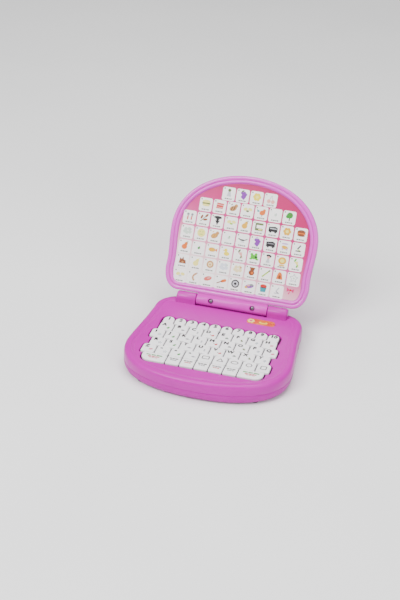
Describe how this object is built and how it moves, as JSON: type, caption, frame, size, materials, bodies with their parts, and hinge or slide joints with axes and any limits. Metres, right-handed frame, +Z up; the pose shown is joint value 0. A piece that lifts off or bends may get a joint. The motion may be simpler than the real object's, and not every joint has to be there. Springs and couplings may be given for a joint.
{
  "type": "toy laptop computer",
  "caption": "Arched clamshell toy laptop with a staggered press-key sound keyboard in the base, a picture card in the tilting lid, a barrel hinge and a sliding battery door.",
  "frame": {"origin": "under the middle of the whole object's box, on the table surface, with the lid open as stored", "axes": "+X to the user's right along the hinge, +Y from the user towards the lid, +Z up"},
  "size_m": [0.2326, 0.3008, 0.1948],
  "materials": {
    "case_pink": "moulded magenta pink ABS, satin, the case underside and battery door",
    "deck_pink": "moulded magenta pink ABS, soft gloss",
    "lid_pink": "moulded light lilac pink ABS, gloss",
    "lid_back_pink": "moulded lilac pink ABS, soft gloss",
    "key_white": "white key tops, satin, with printed legends",
    "key_mat_white": "white silicone key mat with printed legends",
    "card_print": "printed card under a clear laminate",
    "label_orange": "printed sticker",
    "dome_silicone": "translucent grey silicone",
    "board_green": "green solder mask",
    "epoxy_black": "black epoxy blob",
    "speaker_black": "black pressed steel frame",
    "magnet_steel": "plated steel",
    "cone_paper": "black doped paper",
    "cell_blue": null,
    "spring_steel": "bright nickel-plated steel",
    "screw_steel": "zinc-plated steel",
    "foot_rubber": "dark grey rubber"
  },
  "bodies": {
    "base": {"base_bottom_shell": "case_pink", "keyboard_deck": "deck_pink", "letter_key_mat": "key_mat_white", "number_dome_strip": "dome_silicone", "function_dome_strip": "dome_silicone", "circuit_board": "board_green", "sound_chip": "epoxy_black", "speaker_frame": "speaker_black", "speaker_cone": "cone_paper", "speaker_magnet": "magnet_steel", "battery_1": "cell_blue", "battery_spring_1": "spring_steel", "battery_contact_1": "spring_steel", "battery_2": "cell_blue", "battery_spring_2": "spring_steel", "battery_contact_2": "spring_steel", "battery_3": "cell_blue", "battery_spring_3": "spring_steel", "battery_contact_3": "spring_steel", "foot_1": "foot_rubber", "foot_2": "foot_rubber", "foot_3": "foot_rubber", "foot_4": "foot_rubber", "case_screw_1": "screw_steel", "case_screw_2": "screw_steel", "case_screw_3": "screw_steel", "case_screw_4": "screw_steel", "case_screw_5": "screw_steel", "case_screw_6": "screw_steel", "deck_label": "label_orange", "hinge_pin_left": "spring_steel", "hinge_pin_right": "spring_steel"},
    "lid": {"lid_front_shell": "lid_pink", "lid_back_shell": "lid_back_pink", "picture_card": "card_print", "lid_screw_1": "screw_steel", "lid_screw_2": "screw_steel", "lid_screw_3": "screw_steel", "lid_screw_4": "screw_steel", "hinge_screw_left": "screw_steel", "hinge_screw_right": "screw_steel"},
    "battery_door": {"battery_door": "case_pink"},
    "number_key_1": {"number_key_1": "key_white"},
    "number_key_2": {"number_key_2": "key_white"},
    "number_key_3": {"number_key_3": "key_white"},
    "number_key_4": {"number_key_4": "key_white"},
    "number_key_5": {"number_key_5": "key_white"},
    "number_key_6": {"number_key_6": "key_white"},
    "number_key_7": {"number_key_7": "key_white"},
    "number_key_8": {"number_key_8": "key_white"},
    "number_key_9": {"number_key_9": "key_white"},
    "number_key_10": {"number_key_10": "key_white"},
    "function_key_1": {"function_key_1": "key_white"},
    "function_key_2": {"function_key_2": "key_white"},
    "function_key_3": {"function_key_3": "key_white"},
    "function_key_4": {"function_key_4": "key_white"},
    "function_key_5": {"function_key_5": "key_white"},
    "function_key_6": {"function_key_6": "key_white"},
    "function_key_7": {"function_key_7": "key_white"}
  },
  "joints": [
    {"name": "battery_door_slide", "type": "slide", "parent": "base", "child": "battery_door", "axis": [0, 1, 0], "range_m": [0, 0.05]},
    {"name": "lid_hinge", "type": "hinge", "parent": "base", "child": "lid", "pos_m": [0, 0.05258, 0.0343], "axis": [1, 0, 0], "range_deg": [-15, 120]},
    {"name": "press_function_key_1", "type": "slide", "parent": "base", "child": "function_key_1", "axis": [0, 0, -1], "range_m": [0, 0.0013], "stiffness_N_per_m": 100, "springref_m": -0.004},
    {"name": "press_function_key_2", "type": "slide", "parent": "base", "child": "function_key_2", "axis": [0, 0, -1], "range_m": [0, 0.0013], "stiffness_N_per_m": 100, "springref_m": -0.004},
    {"name": "press_function_key_3", "type": "slide", "parent": "base", "child": "function_key_3", "axis": [0, 0, -1], "range_m": [0, 0.0013], "stiffness_N_per_m": 100, "springref_m": -0.004},
    {"name": "press_function_key_4", "type": "slide", "parent": "base", "child": "function_key_4", "axis": [0, 0, -1], "range_m": [0, 0.0013], "stiffness_N_per_m": 100, "springref_m": -0.004},
    {"name": "press_function_key_5", "type": "slide", "parent": "base", "child": "function_key_5", "axis": [0, 0, -1], "range_m": [0, 0.0013], "stiffness_N_per_m": 100, "springref_m": -0.004},
    {"name": "press_function_key_6", "type": "slide", "parent": "base", "child": "function_key_6", "axis": [0, 0, -1], "range_m": [0, 0.0013], "stiffness_N_per_m": 100, "springref_m": -0.004},
    {"name": "press_function_key_7", "type": "slide", "parent": "base", "child": "function_key_7", "axis": [0, 0, -1], "range_m": [0, 0.0013], "stiffness_N_per_m": 100, "springref_m": -0.004},
    {"name": "press_number_key_1", "type": "slide", "parent": "base", "child": "number_key_1", "axis": [0, 0, -1], "range_m": [0, 0.0013], "stiffness_N_per_m": 100, "springref_m": -0.004},
    {"name": "press_number_key_2", "type": "slide", "parent": "base", "child": "number_key_2", "axis": [0, 0, -1], "range_m": [0, 0.0013], "stiffness_N_per_m": 100, "springref_m": -0.004},
    {"name": "press_number_key_3", "type": "slide", "parent": "base", "child": "number_key_3", "axis": [0, 0, -1], "range_m": [0, 0.0013], "stiffness_N_per_m": 100, "springref_m": -0.004},
    {"name": "press_number_key_4", "type": "slide", "parent": "base", "child": "number_key_4", "axis": [0, 0, -1], "range_m": [0, 0.0013], "stiffness_N_per_m": 100, "springref_m": -0.004},
    {"name": "press_number_key_5", "type": "slide", "parent": "base", "child": "number_key_5", "axis": [0, 0, -1], "range_m": [0, 0.0013], "stiffness_N_per_m": 100, "springref_m": -0.004},
    {"name": "press_number_key_6", "type": "slide", "parent": "base", "child": "number_key_6", "axis": [0, 0, -1], "range_m": [0, 0.0013], "stiffness_N_per_m": 100, "springref_m": -0.004},
    {"name": "press_number_key_7", "type": "slide", "parent": "base", "child": "number_key_7", "axis": [0, 0, -1], "range_m": [0, 0.0013], "stiffness_N_per_m": 100, "springref_m": -0.004},
    {"name": "press_number_key_8", "type": "slide", "parent": "base", "child": "number_key_8", "axis": [0, 0, -1], "range_m": [0, 0.0013], "stiffness_N_per_m": 100, "springref_m": -0.004},
    {"name": "press_number_key_9", "type": "slide", "parent": "base", "child": "number_key_9", "axis": [0, 0, -1], "range_m": [0, 0.0013], "stiffness_N_per_m": 100, "springref_m": -0.004},
    {"name": "press_number_key_10", "type": "slide", "parent": "base", "child": "number_key_10", "axis": [0, 0, -1], "range_m": [0, 0.0013], "stiffness_N_per_m": 100, "springref_m": -0.004}
  ]
}
